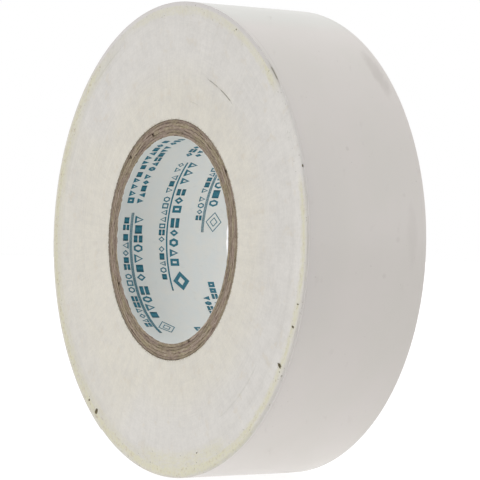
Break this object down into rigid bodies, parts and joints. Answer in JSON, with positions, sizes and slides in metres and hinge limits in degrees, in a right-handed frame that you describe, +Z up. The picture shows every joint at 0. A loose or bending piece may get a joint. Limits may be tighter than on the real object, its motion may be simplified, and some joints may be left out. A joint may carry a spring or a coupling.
{
  "type": "electrical tape roll",
  "caption": "Roll of white electrical insulating tape wound on a short chipboard core with a printed paper liner, with a free end that lifts and peels off.",
  "frame": {"origin": "middle of the bore, on the roll's axis, halfway across the tape's width", "axes": "+Y along the roll's axis, +Z up with the roll standing on its tread, the free tape on the -X side"},
  "size_m": [0.0879, 0.0254, 0.0877],
  "materials": {
    "liner_paper": "satin",
    "core_chipboard": "matte",
    "tape_vinyl": "satin"
  },
  "bodies": {
    "roll": {"core_liner": "liner_paper", "core_ply_1": "core_chipboard", "core_ply_2": "core_chipboard", "core_ply_3": "core_chipboard", "core_ply_4": "core_chipboard", "core_ply_5": "core_chipboard", "tape_pack": "tape_vinyl"},
    "free_tape_01": {"free_tape_01": "tape_vinyl"},
    "free_tape_02": {"free_tape_02": "tape_vinyl"},
    "free_tape_03": {"free_tape_03": "tape_vinyl"},
    "free_tape_04": {"free_tape_04": "tape_vinyl"},
    "free_tape_05": {"free_tape_05": "tape_vinyl"},
    "free_tape_06": {"free_tape_06": "tape_vinyl"},
    "free_tape_07": {"free_tape_07": "tape_vinyl"},
    "free_tape_08": {"free_tape_08": "tape_vinyl"},
    "free_tape_09": {"free_tape_09": "tape_vinyl"},
    "free_tape_10": {"free_tape_10": "tape_vinyl"},
    "free_tape_11": {"free_tape_11": "tape_vinyl"},
    "free_tape_12": {"free_tape_12": "tape_vinyl"},
    "tape_end": {"tape_end": "tape_vinyl"}
  },
  "joints": [
    {"name": "tape_peel", "type": "hinge", "parent": "roll", "child": "free_tape_01", "pos_m": [-0.00687, 0, 0.04338], "axis": [0, 1, 0], "range_deg": [0, 4]},
    {"name": "tape_bend_02", "type": "hinge", "parent": "free_tape_01", "child": "free_tape_02", "pos_m": [-0.0143, 0, 0.04153], "axis": [0, 1, 0], "range_deg": [0, 8]},
    {"name": "tape_bend_03", "type": "hinge", "parent": "free_tape_02", "child": "free_tape_03", "pos_m": [-0.0213, 0, 0.03842], "axis": [0, 1, 0], "range_deg": [0, 8]},
    {"name": "tape_bend_04", "type": "hinge", "parent": "free_tape_03", "child": "free_tape_04", "pos_m": [-0.02765, 0, 0.03414], "axis": [0, 1, 0], "range_deg": [0, 8]},
    {"name": "tape_bend_05", "type": "hinge", "parent": "free_tape_04", "child": "free_tape_05", "pos_m": [-0.03316, 0, 0.02883], "axis": [0, 1, 0], "range_deg": [0, 8]},
    {"name": "tape_bend_06", "type": "hinge", "parent": "free_tape_05", "child": "free_tape_06", "pos_m": [-0.03767, 0, 0.02263], "axis": [0, 1, 0], "range_deg": [0, 8]},
    {"name": "tape_bend_07", "type": "hinge", "parent": "free_tape_06", "child": "free_tape_07", "pos_m": [-0.04103, 0, 0.01575], "axis": [0, 1, 0], "range_deg": [0, 8]},
    {"name": "tape_bend_08", "type": "hinge", "parent": "free_tape_07", "child": "free_tape_08", "pos_m": [-0.04315, 0, 0.00839], "axis": [0, 1, 0], "range_deg": [0, 8]},
    {"name": "tape_bend_09", "type": "hinge", "parent": "free_tape_08", "child": "free_tape_09", "pos_m": [-0.04396, 0, 0.00077], "axis": [0, 1, 0], "range_deg": [0, 8]},
    {"name": "tape_bend_10", "type": "hinge", "parent": "free_tape_09", "child": "free_tape_10", "pos_m": [-0.04343, 0, -0.00688], "axis": [0, 1, 0], "range_deg": [0, 8]},
    {"name": "tape_bend_11", "type": "hinge", "parent": "free_tape_10", "child": "free_tape_11", "pos_m": [-0.04158, 0, -0.01432], "axis": [0, 1, 0], "range_deg": [0, 8]},
    {"name": "tape_bend_12", "type": "hinge", "parent": "free_tape_11", "child": "free_tape_12", "pos_m": [-0.03847, 0, -0.02132], "axis": [0, 1, 0], "range_deg": [0, 8]},
    {"name": "end_lift", "type": "hinge", "parent": "free_tape_12", "child": "tape_end", "pos_m": [-0.03419, 0, -0.02768], "axis": [0, 1, 0], "range_deg": [0, 50]}
  ],
  "couplings": [
    {"joint": "tape_bend_02", "follows": "tape_peel", "ratio": 2},
    {"joint": "tape_bend_03", "follows": "tape_peel", "ratio": 2},
    {"joint": "tape_bend_04", "follows": "tape_peel", "ratio": 2},
    {"joint": "tape_bend_05", "follows": "tape_peel", "ratio": 2},
    {"joint": "tape_bend_06", "follows": "tape_peel", "ratio": 2},
    {"joint": "tape_bend_07", "follows": "tape_peel", "ratio": 2},
    {"joint": "tape_bend_08", "follows": "tape_peel", "ratio": 2},
    {"joint": "tape_bend_09", "follows": "tape_peel", "ratio": 2},
    {"joint": "tape_bend_10", "follows": "tape_peel", "ratio": 2},
    {"joint": "tape_bend_11", "follows": "tape_peel", "ratio": 2},
    {"joint": "tape_bend_12", "follows": "tape_peel", "ratio": 2}
  ]
}
